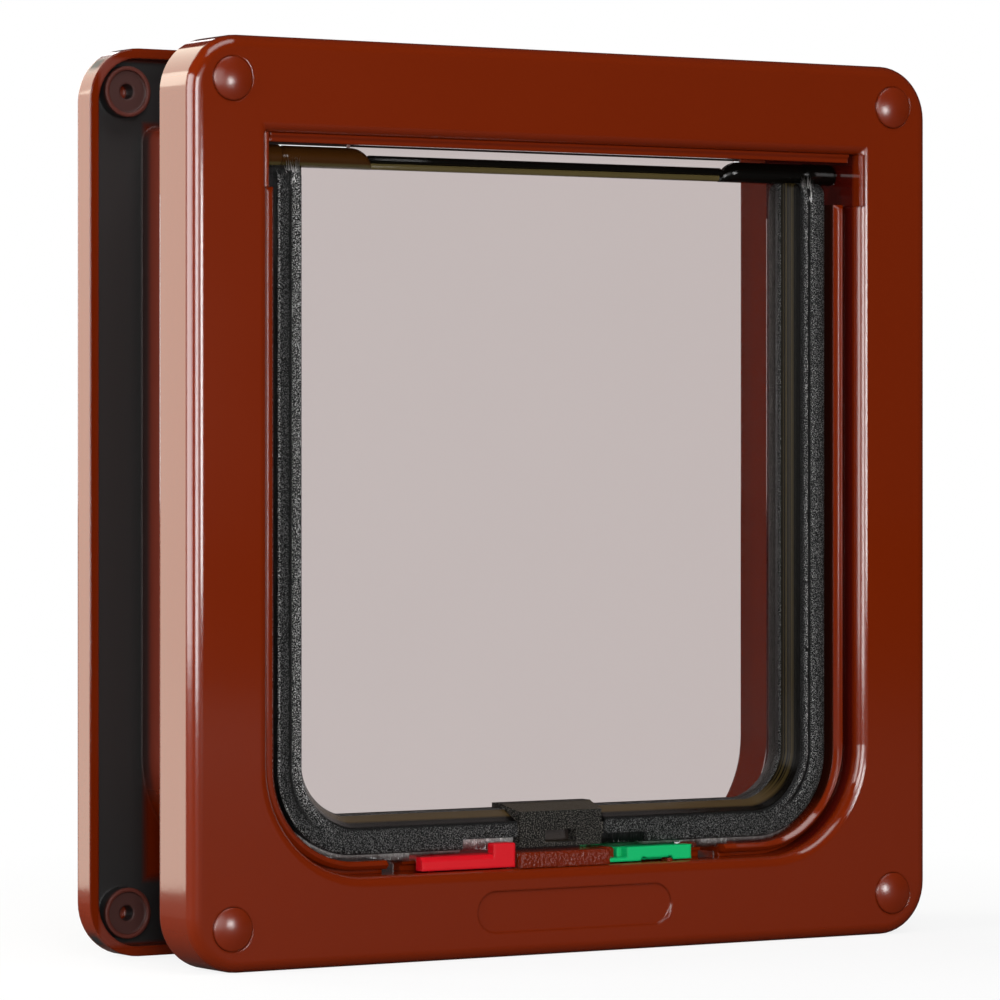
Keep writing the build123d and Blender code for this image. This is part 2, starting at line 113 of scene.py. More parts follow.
# Moulded plastic: a faint cloud in the colour and a fine grain in the surface
moulded, source, sink = newGroup("mouldedPlastic", ("Light", "Dark"), ("Smooth", "Rough", "Grain", "Bump"))
where = newNode(moulded, "ShaderNodeTexCoord")
cloud = newNode(moulded, "ShaderNodeTexNoise", Scale=22.0, Detail=4.0)
grain = newNode(moulded, "ShaderNodeTexNoise", Detail=3.0)
bump = newNode(moulded, "ShaderNodeBump", Distance=0.0004)
edges = newNode(moulded, "ShaderNodeBevel", Radius=0.0007)
link = moulded.links.new
link(edges.outputs["Normal"], bump.inputs["Normal"])
link(where.outputs["Object"], cloud.inputs["Vector"])
link(where.outputs["Object"], grain.inputs["Vector"])
link(source.outputs["Grain"], grain.inputs["Scale"])
link(grain.outputs["Fac"], bump.inputs["Height"])
link(source.outputs["Bump"], bump.inputs["Strength"])
cloudColor = colorMix(moulded, cloud.outputs["Fac"], source.outputs["Dark"], source.outputs["Light"])
link(cloudColor, sink.inputs["Color"])
cloudRough = ranged(moulded, cloud.outputs["Fac"], 0, 1, source.outputs["Smooth"], source.outputs["Rough"])
link(cloudRough, sink.inputs["Roughness"])
link(bump.outputs["Normal"], sink.inputs["Normal"])

# Spark-eroded plastic: pale specks of about a quarter of a millimetre on black
eroded, source, sink = newGroup("erodedPlastic", ("Light", "Dark"), ("Smooth", "Rough", "Grain", "Bump"))
where = newNode(eroded, "ShaderNodeTexCoord")
specks = newNode(eroded, "ShaderNodeTexNoise", Detail=2.0, Roughness=0.7)
bump = newNode(eroded, "ShaderNodeBump", Distance=0.0003)
link = eroded.links.new
link(where.outputs["Object"], specks.inputs["Vector"])
link(source.outputs["Grain"], specks.inputs["Scale"])
sharpSpecks = ranged(eroded, specks.outputs["Fac"], 0.54, 0.61)
speckColor = colorMix(eroded, sharpSpecks, source.outputs["Dark"], source.outputs["Light"])
link(speckColor, sink.inputs["Color"])
speckRough = ranged(eroded, specks.outputs["Fac"], 0.3, 0.7, source.outputs["Smooth"], source.outputs["Rough"])
link(speckRough, sink.inputs["Roughness"])
link(specks.outputs["Fac"], bump.inputs["Height"])
link(source.outputs["Bump"], bump.inputs["Strength"])
link(bump.outputs["Normal"], sink.inputs["Normal"])


def startMaterial(name):
    material = bpy.data.materials.new(name)
    material.use_nodes = True
    tree = material.node_tree
    return material, tree, tree.nodes["Principled BSDF"]


def plastic(name, group, light, dark, smooth, rough, grain, bump, ior=1.47):
    material, tree, shader = startMaterial(name)
    node = tree.nodes.new("ShaderNodeGroup")
    node.node_tree = group
    node.inputs["Light"].default_value = (*light, 1)
    node.inputs["Dark"].default_value = (*dark, 1)
    for key, value in (("Smooth", smooth), ("Rough", rough), ("Grain", grain), ("Bump", bump)):
        node.inputs[key].default_value = value
    shader.inputs["IOR"].default_value = ior
    tree.links.new(node.outputs["Color"], shader.inputs["Base Color"])
    tree.links.new(node.outputs["Roughness"], shader.inputs["Roughness"])
    tree.links.new(node.outputs["Normal"], shader.inputs["Normal"])
    return material


# Lays a second colour over a material's own where the mask is one
def overlay(material, mask, color):
    tree = material.node_tree
    base = tree.nodes["Principled BSDF"].inputs["Base Color"]
    tree.links.new(colorMix(tree, mask, base.links[0].from_socket, color), base)


# Ramp between two depths behind the front face
def atDepth(tree, y, ramp):
    return ranged(tree, y, frontFace + ramp[0] / 1000, frontFace + ramp[1] / 1000)


# A material's tree, and the X, Y and Z of one of its coordinates
def axes(material, output):
    tree = material.node_tree
    where = newNode(tree, "ShaderNodeTexCoord")
    split = newNode(tree, "ShaderNodeSeparateXYZ")
    tree.links.new(where.outputs[output], split.inputs["Vector"])
    return tree, split.outputs["X"], split.outputs["Y"], split.outputs["Z"]


brownLook = ((0.139, 0.0125, 0.0009), (0.127, 0.011, 0.0007), 0.06, 0.09, 700, 0.012, 1.58)
brown = plastic("brownPlastic", moulded, *brownLook)
brownCap = plastic("brownCap", moulded, *brownLook[:2], 0.2, 0.25, 700, 0.012, 1.58)
brownMatt = plastic("brownMatt", moulded, (0.125, 0.0105, 0.001), (0.094, 0.0075, 0.0007), 0.14, 0.2, 1100, 1.0, 1.36)
red = plastic("redPlastic", moulded, (0.51, 0.002, 0.0085), (0.465, 0.0015, 0.007), 0.3, 0.4, 1200, 0.06, 1.32)
green = plastic("greenPlastic", moulded, (0.0006, 0.385, 0.116), (0.0004, 0.35, 0.103), 0.28, 0.38, 1200, 0.06, 1.32)
ferrite = plastic("ferrite", moulded, (0.02, 0.01, 0.006), (0.008, 0.004, 0.0025), 0.4, 0.6, 3000, 0.3)
pile = plastic("pile", eroded, (0.9, 0.88, 0.87), (0.5, 0.485, 0.48), 0.7, 0.9, 1800, 0.2)
# Pile in painted shade: near-black fibres stand for the pile lying in shadow on the flap's sides and in the right
# notch
pilePaintedShade = plastic("pilePaintedShade", eroded, (0.02, 0.02, 0.02), (0.003, 0.003, 0.003), 0.7, 0.9, 1800, 0.2)
gloss = plastic("smokedBar", moulded, (0.004, 0.0033, 0.0027), (0.002, 0.0017, 0.0013), 0.05, 0.1, 500, 0.01, 1.25)
olive = plastic("smokedBead", moulded, (0.1, 0.075, 0.028), (0.062, 0.047, 0.016), 0.12, 0.2, 900, 0.05)

# Hinge barrels: amber with an olive foot, where light comes through on the left; the right one is painted black, a
# painted shade
barrel = plastic("smokedBarrel", moulded, (0.046, 0.016, 0.0028), (0.034, 0.0115, 0.002), 0.06, 0.1, 500, 0.01, 1.4)
tree, x, y, z = axes(barrel, "Object")
overlay(barrel, ranged(tree, z, 0.1739, 0.1734), (0.07, 0.052, 0.02))
# Painted shade: the right barrel is painted black
overlay(barrel, ranged(tree, x, -0.03, 0.03), (0.002, 0.0016, 0.0012))

# Black border with painted light and shade: a per-point tone paints its ribs paler where they face the light and its
# valley darker
border = plastic("borderPlastic", eroded, (0.12, 0.12, 0.12), (0.001, 0.001, 0.001), 0.4, 0.55, 4600, 0.5, 1.2)
tree = border.node_tree
paintedTone = newNode(tree, "ShaderNodeAttribute")
paintedTone.attribute_name = "paintedTone"
speckles = next(node for node in tree.nodes if node.type == "GROUP")
paintedSpeckLight = colorMix(tree, paintedTone.outputs["Fac"], (0.0025, 0.0025, 0.0025), (0.5, 0.495, 0.49))
tree.links.new(paintedSpeckLight, speckles.inputs["Light"])

# The rear tray is painted near-black between its rim and its sleeve, a painted shade. Ramps run from clear
# to dark; those over depth are in millimetres, half and middle in metres
trayShade = {
    "half": 0.097,
    "middle": 0.1,
    "sleeveRamp": (0.82, 0.845),
    "rimRamp": (0.985, 0.97),
    "backRamp": (51.5, 51.0),
    "deepRamp": (46.2, 48.4),
    "color": (0.0065, 0.0063, 0.0063),
    "rough": 0.55,
}
rearBrown = plastic("rearPlastic", moulded, *brownLook)
tree, x, y, z = axes(rearBrown, "Object")
across = calc(tree, "DIVIDE", calc(tree, "ABSOLUTE", x, 0), trayShade["half"])
level = calc(tree, "SUBTRACT", z, trayShade["middle"])
upward = calc(tree, "DIVIDE", calc(tree, "ABSOLUTE", level, 0), trayShade["middle"])
ring = calc(tree, "MAXIMUM", across, upward)
fromSleeve = ranged(tree, ring, *trayShade["sleeveRamp"])
inside = calc(tree, "MULTIPLY", fromSleeve, ranged(tree, ring, *trayShade["rimRamp"]))
inside = calc(tree, "MULTIPLY", inside, atDepth(tree, y, trayShade["backRamp"]))
# Painted shade laid over the deep inside of the tray
overlay(rearBrown, calc(tree, "MULTIPLY", inside, atDepth(tree, y, trayShade["deepRamp"])), trayShade["color"])
polish = tree.nodes["Principled BSDF"].inputs["Roughness"]
tree.links.new(ranged(tree, inside, 0, 1, polish.links[0].from_socket, trayShade["rough"]), polish)

# Front frame: painted shade darkens the gap round the flap and the groove outside its ring; sharp in the
# hinge pockets, dull in the sill channel. Ramps over depth are in millimetres, the rest in metres
ringShape = {
    "half": 0.074,
    "bottom": 0.0222,
    "radius": 0.0206,
    "gapInner": (-0.0006, -0.0003),
    "gapOuter": (0.0003, 0.0001),
    "gapDepth": (5.1, 5.6),
    "gapRise": (0.026, 0.032),
    "gapShadeColor": (0.02, 0.003, 0.001),
    "grooveInner": (0.0028, 0.003),
    "grooveOuter": (0.0066, 0.006),
    "grooveDepth": (2.4, 3.6),
    "grooveShadeColor": (0.05, 0.003, 0.0015),
    "pocketRise": (0.1655, 0.1665),
    "pocketDepth": (5.5, 6.0),
    "sillRise": (0.0228, 0.0224),
    "sillReach": (0.047, 0.0465),
    "sillBack": (18.5, 18.0),
    "sillFront": (4.3, 4.6),
    "sillShine": 0.05,
}
frameBrown = plastic("framePlastic", moulded, *brownLook)
tree, x, y, z = axes(frameBrown, "Object")
sideways = calc(tree, "ABSOLUTE", x, 0)
outward = calc(tree, "MAXIMUM", calc(tree, "SUBTRACT", sideways, ringShape["half"] - ringShape["radius"]), 0)
downward = calc(tree, "MAXIMUM", calc(tree, "SUBTRACT", ringShape["bottom"] + ringShape["radius"], z), 0)
squares = calc(tree, "ADD", calc(tree, "MULTIPLY", outward, outward), calc(tree, "MULTIPLY", downward, downward))
beyond = calc(tree, "SUBTRACT", calc(tree, "SQRT", squares, 0), ringShape["radius"])
gapInner = ranged(tree, beyond, *ringShape["gapInner"])
gapShade = calc(tree, "MULTIPLY", gapInner, ranged(tree, beyond, *ringShape["gapOuter"]))
gapShade = calc(tree, "MULTIPLY", gapShade, atDepth(tree, y, ringShape["gapDepth"]))
gapShade = calc(tree, "MULTIPLY", gapShade, ranged(tree, z, *ringShape["gapRise"]))
grooveInner = ranged(tree, beyond, *ringShape["grooveInner"])
grooveShade = calc(tree, "MULTIPLY", grooveInner, ranged(tree, beyond, *ringShape["grooveOuter"]))
grooveShade = calc(tree, "MULTIPLY", grooveShade, atDepth(tree, y, ringShape["grooveDepth"]))
# Painted shade in the groove outside the ring and in the gap round the flap
overlay(frameBrown, grooveShade, ringShape["grooveShadeColor"])
overlay(frameBrown, gapShade, ringShape["gapShadeColor"])
pocketRise = ranged(tree, z, *ringShape["pocketRise"])
pocket = calc(tree, "MULTIPLY", pocketRise, atDepth(tree, y, ringShape["pocketDepth"]))
facing = tree.nodes["Principled BSDF"].inputs["Normal"]
plain = tree.nodes.new("ShaderNodeMix")
plain.data_type = "VECTOR"
tree.links.new(pocket, plain.inputs["Factor"])
tree.links.new(facing.links[0].from_socket, plain.inputs[4])
tree.links.new(newNode(tree, "ShaderNodeNewGeometry").outputs["Normal"], plain.inputs[5])
tree.links.new(plain.outputs[1], facing)
sillRise = ranged(tree, z, *ringShape["sillRise"])
sill = calc(tree, "MULTIPLY", sillRise, ranged(tree, sideways, *ringShape["sillReach"]))
sill = calc(tree, "MULTIPLY", sill, atDepth(tree, y, ringShape["sillBack"]))
sill = calc(tree, "MULTIPLY", sill, atDepth(tree, y, ringShape["sillFront"]))
shine = ranged(tree, sill, 0, 1, 0.5, ringShape["sillShine"])
tree.links.new(shine, tree.nodes["Principled BSDF"].inputs["Specular IOR Level"])

# Inner slope of the border: black and olive streaks on the sides, olive above the sill
bevel = plastic("smokedBevel", moulded, (0.034, 0.024, 0.008), (0.019, 0.0125, 0.004), 0.2, 0.3, 900, 0.05, 1.15)
tree, x, y, z = axes(bevel, "Object")
streaks = newNode(tree, "ShaderNodeTexNoise", Scale=1.0, Detail=3.0, Roughness=0.7)
streaks.noise_dimensions = "1D"
tree.links.new(calc(tree, "MULTIPLY", y, 1100.0), streaks.inputs["W"])
overlay(bevel, ranged(tree, streaks.outputs["Fac"], 0.6, 0.42), (0.002, 0.0017, 0.0013))
overlay(bevel, ranged(tree, z, 0.036, 0.031), (0.053, 0.034, 0.014))
# The front of the slope, shallower than about 8.2 mm, is painted black, a painted shade
overlay(bevel, atDepth(tree, y, (9.2, 8.2)), (0.002, 0.0017, 0.0013))

# Magnet housing: speckled body; faces turned up are painted olive, a painted light on its roof
carrier = plastic("carrierPlastic", eroded, (0.13, 0.12, 0.105), (0.0013, 0.0012, 0.001), 0.4, 0.55, 3800, 0.5, 1.2)
tree, x, y, z = axes(carrier, "Normal")
overlay(carrier, ranged(tree, z, 0.25, 0.6, 0.0, 0.85), (0.022, 0.015, 0.005))


def clearMaterial(name, color, rough, ior):
    material, tree, shader = startMaterial(name)
    where = newNode(tree, "ShaderNodeTexCoord")
    cloud = newNode(tree, "ShaderNodeTexNoise", Scale=30.0, Detail=2.0)
    tree.links.new(where.outputs["Object"], cloud.inputs["Vector"])
    pale = tuple(min(1, part * 1.01) for part in color)
    deep = tuple(part * 0.99 for part in color)
    tree.links.new(colorMix(tree, cloud.outputs["Fac"], deep, pale), shader.inputs["Base Color"])
    shader.inputs["Roughness"].default_value = rough
    shader.inputs["IOR"].default_value = ior
    shader.inputs["Transmission Weight"].default_value = 1.0
    return material


smoked = clearMaterial("smokedWindow", (0.55, 0.485, 0.475), 0.0, 1.3)


def dress(name, material):
    data = nodes[name].data
    data.materials.clear()
    data.materials.append(material)


for name in ("front_frame", "hinge_cover_left", "hinge_cover_right"):
    dress(name, frameBrown)
dress("hinge_retainer", brown)
for name in nodes:
    if name.startswith("screw_cap"):
        dress(name, brownCap)
dress("rear_frame", rearBrown)
dress("sill_block", brownMatt)
dress("lock_slide_red", red)
dress("lock_slide_green", green)
dress("magnet_carrier", carrier)
for name in ("flap_magnet", "sill_magnet"):
    dress(name, ferrite)
print("materials done")


# Pieces built here

def meshPiece(name, points, faces, materials, body, picks=None, paintedTones=None, angle=40):
    mesh = bpy.data.meshes.new(name)
    mesh.from_pydata(points, [], faces)
    # Per-point painted light and shade, read by the border's material
    if paintedTones:
        mesh.attributes.new("paintedTone", "FLOAT", "POINT").data.foreach_set("value", paintedTones)
    for material in materials:
        mesh.materials.append(material)
    for polygon, pick in zip(mesh.polygons, picks or []):
        polygon.material_index = pick
    mesh.update()
    mesh.shade_smooth()
    mesh.set_sharp_from_angle(angle=math.radians(angle))
    piece = bpy.data.objects.new(name, mesh)
    scene.collection.objects.link(piece)
    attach(piece, body)
    return piece


def smoothStep(value):
    value = min(1, max(0, value))
    return value * value * (3 - 2 * value)


flapShape = {
    "half": 72.3,
    "bottom": 23.5,
    "radius": 18.9,
    "top": 173.0,
    "topRound": 4.2,
    "front": 6.0,
    "back": 17.0,
    "sillScale": 0.944,
    "cornerSwell": 0.08,
    "notchLeft": 25.7,
    "notchRight": 23.0,
    "notchRise": 2.35,
    "housingHalf": 11.6,
}


# One half of the flap's outer edge, from its top to the middle of the sill
def flapEdge(shape, notch):
    half, bottom, radius = shape["half"], shape["bottom"], shape["radius"]
    stations = []
    for step in range(9):
        fall = shape["topRound"] * (1 - math.cos(math.pi / 2 * step / 8))
        stations.append((-half, shape["top"] - fall, 1, 0, 0))
    span = shape["top"] - shape["topRound"] - bottom - radius
    for step in range(1, 8):
        stations.append((-half, shape["top"] - shape["topRound"] - span * step / 8, 1, 0, 0))
    for step in range(25):
        turn = math.pi / 2 * step / 24
        x = -half + radius - radius * math.cos(turn)
        z = bottom + radius - radius * math.sin(turn)
        stations.append((x, z, math.cos(turn), math.sin(turn), step / 24))
    for x in (-44, -34, -notch - 0.01, -notch + 0.01, -17, -shape["housingHalf"]):
        stations.append((x, bottom, 0, 1, 1))
    return stations


# Section of the border: inset from the outer edge, depth on the sides, depth at the sill, slope or not,
# and how pale it is painted, as painted light and shade, on the left, on the right and at the sill
borderSection = [
    (0.0, 6.7, 6.6, 0, 0.0, 0.0, 0.2), (0.1, 6.35, 6.3, 0, 1.0, 0.1, 0.3), (0.32, 6.1, 6.1, 0, 1.0, 0.2, 0.3),
    (0.42, 6.05, 6.05, 0, 0.2, 0.2, 0.3), (1.2, 5.95, 6.0, 0, 0.22, 0.26, 0.3), (2.2, 5.98, 6.0, 0, 0.2, 0.28, 0.3),
    (2.9, 6.15, 6.0, 0, 0.06, 0.4, 0.3),
    (3.3, 6.6, 6.0, 0, 0.1, 0.6, 0.3), (3.8, 6.95, 6.0, 0, 0.55, 0.03, 0.3), (4.3, 6.6, 6.0, 0, 0.8, 0.02, 0.3),
    (4.7, 6.2, 6.0, 0, 0.85, 0.1, 0.3), (5.0, 6.02, 6.0, 0, 0.85, 1.0, 0.3), (5.5, 6.05, 6.0, 0, 0.8, 0.6, 0.25),
    (5.9, 6.45, 6.05, 0, 0.7, 0.1, 0.04), (6.25, 7.2, 6.4, 1, 0.2, 0.03, 0.02), (6.45, 7.9, 7.0, 1, 0, 0, 0),
    (7.6, 9.6, 9.3, 1, 0, 0, 0), (8.7, 11.4, 11.3, 0, 0.45, 0.32, 0.3), (9.0, 12.2, 12.2, 0, 0.3, 0.3, 0.3),
    (9.0, 16.2, 16.2, 0, 0.3, 0.3, 0.3), (8.7, 16.75, 16.75, 0, 0.3, 0.3, 0.3), (8.2, 17.0, 17.0, 0, 0.3, 0.3, 0.3),
    (0.8, 17.0, 17.0, 0, 0.3, 0.3, 0.3), (0.25, 16.8, 16.8, 0, 0.0, 0.0, 0.2), (0.0, 16.4, 16.4, 0, 0.0, 0.0, 0.2),
]


def flapBorder(side):
    shape = flapShape
    middle = (shape["front"] + shape["back"]) / 2
    notch = shape["notchRight"] if side > 0 else shape["notchLeft"]
    points, paintedTones = [], []
    for x, z, inX, inZ, turn in flapEdge(shape, notch):
        flat = smoothStep((turn - 0.25) / 0.6)
        scale = 1 + (shape["sillScale"] - 1) * turn + shape["cornerSwell"] * math.sin(math.pi * turn)
        rise = z - shape["top"] + shape["topRound"]
        cut = shape["topRound"] - math.sqrt(max(0, shape["topRound"] ** 2 - max(0, rise) ** 2))
        for inset, sideDepth, sillDepth, _, leftPaintedTone, rightPaintedTone, sillPaintedTone in borderSection:
            depth = sideDepth + (sillDepth - sideDepth) * flat
            depth = max(depth, shape["front"] + cut) if depth < middle else min(depth, shape["back"] - cut)
            inset = inset * scale
            if abs(x) < notch:
                inset = max(inset, shape["notchRise"])
            points.append(at(side * (-x - inset * inX), depth, z + inset * inZ))
            # Painted light and shade: this side's tone, blended to the sill's
            sidePaintedTone = rightPaintedTone if side > 0 else leftPaintedTone
            paintedTones.append(sidePaintedTone + (sillPaintedTone - sidePaintedTone) * flat)
    count = len(borderSection)
    rows = len(points) // count
    faces, picks = [], []
    for row in range(rows - 1):
        for col in range(count):
            after = (col + 1) % count
            quad = (row * count + col, row * count + after, (row + 1) * count + after, (row + 1) * count + col)
            faces.append(quad if side > 0 else quad[::-1])
            picks.append(borderSection[col][3])
    first = tuple(range(count))
    last = tuple(range((rows - 1) * count, rows * count))
    faces.append(first[::-1] if side > 0 else first)
    faces.append(last if side > 0 else last[::-1])
    picks += [0, 0]
    name = "flap_border_right" if side > 0 else "flap_border_left"
    return meshPiece(name, points, faces, [border, bevel], "flap", picks, paintedTones)


windowShape = {
    "half": 65.5,
    "bottom": 30.0,
    "radius": 14.0,
    "front": 12.05,
    "back": 13.6,
    "shoulder": 173.5,
    "lipHalf": 51.0,
    "lipTop": 178.4,
}


def flapWindow():
    shape = windowShape
    half, bottom, radius = shape["half"], shape["bottom"], shape["radius"]
    edge = [(-shape["lipHalf"], shape["lipTop"]), (-shape["lipHalf"], shape["shoulder"]), (-half, shape["shoulder"])]
    for step in range(13):
        turn = math.pi / 2 * step / 12
        edge.append((-half + radius - radius * math.cos(turn), bottom + radius - radius * math.sin(turn)))
    edge += [(-x, z) for x, z in reversed(edge)]
    count = len(edge)
    points = [at(x, shape["front"], z) for x, z in edge] + [at(x, shape["back"], z) for x, z in edge]
    faces = [tuple(range(count)), tuple(range(2 * count - 1, count - 1, -1))]
    for step in range(count):
        after = (step + 1) % count
        faces.append((after, step, count + step, count + after))
    return meshPiece("flap_window", points, faces, [smoked], "flap", angle=20)


hingeShape = {
    "depth": 11.5,
    "height": 175.05,
    "barrelRadius": 2.35,
    "barrelStart": 51.5,
    "barrelEnd": 68.7,
    "noseLength": 5.4,
    "neckRadius": 1.9,
    "neckEnd": 69.3,
    "discRadius": 2.5,
    "discEnd": 77.4,
    "pinRadius": 1.9,
    "pinEnd": 79.3,
}


# Skin over rings of (x, centre height, radius) round the hinge line
def turned(name, rings, material, sides=40):
    points, faces = [], []
    for x, height, radius in rings:
        for step in range(sides):
            turn = 2 * math.pi * step / sides
            points.append(at(x, hingeShape["depth"] + radius * math.sin(turn), height + radius * math.cos(turn)))
    for row in range(len(rings) - 1):
        for step in range(sides):
            after = (step + 1) % sides
            low, high = row * sides, (row + 1) * sides
            faces.append((low + step, high + step, high + after, low + after))
    start = (len(rings) - 1) * sides
    faces.append(tuple(range(sides)))
    faces.append(tuple(range(start + sides - 1, start - 1, -1)))
    if rings[0][0] > rings[-1][0]:
        faces = [face[::-1] for face in faces]
    return meshPiece(name, points, faces, [material], "flap")


def hingeBarrel(side):
    shape = hingeShape
    mid = shape["height"]
    rings = []
    for step in range(11):
        turn = math.pi / 2 * step / 10
        radius = max(0.25, shape["barrelRadius"] * math.sin(turn))
        x = shape["barrelStart"] - shape["noseLength"] * math.cos(turn)
        rings.append((x, mid - shape["barrelRadius"] + radius, radius))
    for x, radius in (
        (shape["barrelEnd"] - 0.3, shape["barrelRadius"]),
        (shape["barrelEnd"], shape["barrelRadius"] - 0.3),
        (shape["barrelEnd"] + 0.05, shape["neckRadius"]),
        (shape["neckEnd"], shape["neckRadius"]),
        (shape["neckEnd"] + 0.05, shape["discRadius"] - 0.3),
        (shape["neckEnd"] + 0.35, shape["discRadius"]),
        (shape["discEnd"] - 0.3, shape["discRadius"]),
        (shape["discEnd"], shape["discRadius"] - 0.3),
        (shape["discEnd"], shape["pinRadius"]),
        (shape["pinEnd"], shape["pinRadius"]),
    ):
        rings.append((x, mid, radius))
    name = "flap_hinge_right" if side > 0 else "flap_hinge_left"
    return turned(name, [(side * x, height, radius) for x, height, radius in rings], barrel)


barShape = {
    "end": 47.0,
    "bevel": 0.5,
    "bar": (11.5, 175.1, 0.8),
    "bead": (11.8, 173.5, 0.7),
    "back": 12.15,
}


# Black bar above the window with an olive bead under it, in one section
def hingeBar():
    shape = barShape
    section = []
    for (depth, height, radius), first, last in ((shape["bar"], -20, 200), (shape["bead"], 20, 180)):
        for step in range(15):
            turn = math.radians(first + (last - first) * step / 14)
            section.append((depth - radius * math.sin(turn), height + radius * math.cos(turn)))
    section += [(shape["back"], section[-1][1]), (shape["back"], section[0][1])]
    count = len(section)
    midDepth = sum(point[0] for point in section) / count
    midHeight = sum(point[1] for point in section) / count
    points, faces, picks = [], [], []
    end, soft = shape["end"], shape["end"] - shape["bevel"]
    for x, scale in ((-end, 0.7), (-soft, 1), (-soft / 3, 1), (soft / 3, 1), (soft, 1), (end, 0.7)):
        for depth, height in section:
            points.append(at(x, midDepth + (depth - midDepth) * scale, midHeight + (height - midHeight) * scale))
    for row in range(5):
        for col in range(count):
            after = (col + 1) % count
            faces.append((row * count + after, row * count + col, (row + 1) * count + col, (row + 1) * count + after))
            picks.append(1 if col >= 15 else 0)
    faces += [tuple(range(count)), tuple(range(6 * count - 1, 5 * count - 1, -1))]
    picks += [0, 0]
    return meshPiece("flap_hinge_bar", points, faces, [gloss, olive], "flap", picks)


pileShape = {
    "front": 9.9,
    "depth": 3.0,
    "sillForward": 2.7,
    "perMillimetre": 85,
    "overhang": 1.4,
    "sillOverhang": 1.25,
    "slideOverhang": 0.85,
    "slideReach": 38.6,
    "railOverhang": 2.2,
    "railReach": 46.0,
    "notchDrop": 3.2,
    "root": 0.4,
    "width": 0.075,
    "notchWidth": 0.12,
    "top": 168.6,
}

# Strands that stand up where the pile ends, by the start and span of their depth and height
frayShape = {
    "strands": 34,
    "across": 68.2,
    "spread": 1.3,
    "lean": 1.1,
    "root": ((6.4, 0.8), (168.2, 1.8)),
    "tip": ((7.2, 1.0), (172.2, 3.0)),
    "width": 0.19,
}


def fibre(points, faces, root, tip, width):
    base = len(points)
    for turn in range(3):
        angle = 2 * math.pi * turn / 3
        points.append(root + Vector((width * math.cos(angle), width * math.sin(angle), 0)) / 1000)
    points.append(tip)
    faces += [(base, base + 1, base + 3), (base + 1, base + 2, base + 3), (base + 2, base, base + 3)]


# Brush seal: tapered fibres out of the flap's edge, short over the lock slides, long beside them and in the notches
def pileStrip(side):
    shape = pileShape
    chance = random.Random(41 if side > 0 else 17)
    notch = flapShape["notchRight"] if side > 0 else flapShape["notchLeft"]
    stations = [station for station in flapEdge(flapShape, notch) if station[1] < shape["top"]]
    points, faces, picks = [], [], []
    for (x0, z0, inX0, inZ0, turn0), (x1, z1, inX1, inZ1, turn1) in zip(stations, stations[1:]):
        length = math.hypot(x1 - x0, z1 - z0)
        for _ in range(int(length * shape["perMillimetre"])):
            share = chance.random()
            x = x0 + (x1 - x0) * share
            z = z0 + (z1 - z0) * share
            inX = inX0 + (inX1 - inX0) * share
            inZ = inZ0 + (inZ1 - inZ0) * share
            turn = turn0 + (turn1 - turn0) * share
            if abs(x) < notch:
                continue
            overhang = shape["overhang"] + (shape["sillOverhang"] - shape["overhang"]) * turn
            if abs(x) < shape["slideReach"]:
                overhang = shape["slideOverhang"]
            elif abs(x) < shape["railReach"]:
                overhang = shape["railOverhang"]
            forward = shape["sillForward"] * smoothStep((turn - 0.3) / 0.5)
            depth = shape["front"] - forward + shape["depth"] * chance.random()
            reach = overhang * (0.88 + 0.12 * chance.random())
            lean = 0.35 * (chance.random() - 0.5)
            root = at(side * (-x - shape["root"] * inX), depth, z + shape["root"] * inZ)
            wander = depth + 0.5 * (chance.random() - 0.5)
            tip = at(side * (-x + reach * inX + lean * inZ), wander, z - reach * inZ + lean * inX)
            fibre(points, faces, root, tip, shape["width"])
            # Painted shade: fibres on the sides take the near-black pile, those towards the sill the pale one
            picks += [0 if chance.random() < smoothStep((turn - 0.3) / 0.4) else 1] * 3
    for _ in range(int((notch - flapShape["housingHalf"]) * shape["perMillimetre"])):
        x = flapShape["housingHalf"] + 0.3 + (notch - flapShape["housingHalf"] - 0.4) * chance.random()
        depth = shape["front"] - shape["sillForward"] + shape["depth"] * chance.random()
        root = at(side * x, depth, flapShape["bottom"] + flapShape["notchRise"] + 0.3)
        fall = shape["notchDrop"] * (0.9 + 0.1 * chance.random()) / 1000
        tip = root + Vector((0.0005 * (chance.random() - 0.5), 0, -fall))
        fibre(points, faces, root, tip, shape["notchWidth"])
    # Painted shade: the right notch's fibres take the near-black pile
    picks += [1 if side > 0 else 0] * (len(faces) - len(picks))
    for _ in range(frayShape["strands"]):
        x = frayShape["across"] + frayShape["spread"] * (2 * chance.random() - 1)
        root = at(side * x, *(start + span * chance.random() for start, span in frayShape["root"]))
        lean = frayShape["lean"] * (2 * chance.random() - 1)
        tip = at(side * (x + lean), *(start + span * chance.random() for start, span in frayShape["tip"]))
        fibre(points, faces, root, tip, frayShape["width"])
    picks += [0] * (len(faces) - len(picks))
    name = "brush_pile_right" if side > 0 else "brush_pile_left"
    strip = meshPiece(name, points, faces, [pile, pilePaintedShade], "flap", picks, angle=180)
    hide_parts("brush_seal_right" if side > 0 else "brush_seal_left")
    return strip


borderLeft = flapBorder(-1)
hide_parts("flap")
for piece in (flapBorder(1), flapWindow(), hingeBarrel(-1), hingeBarrel(1), hingeBar()):
    print(piece.name)
print("flap done")
pileStrip(-1)
pileStrip(1)
print("pile done")


# Floor, world, lights and camera
scene.view_settings.view_transform = "Standard"


def anyRay(tree, first, second):
    path = newNode(tree, "ShaderNodeLightPath")
    return calc(tree, "MAXIMUM", path.outputs[first], path.outputs[second])


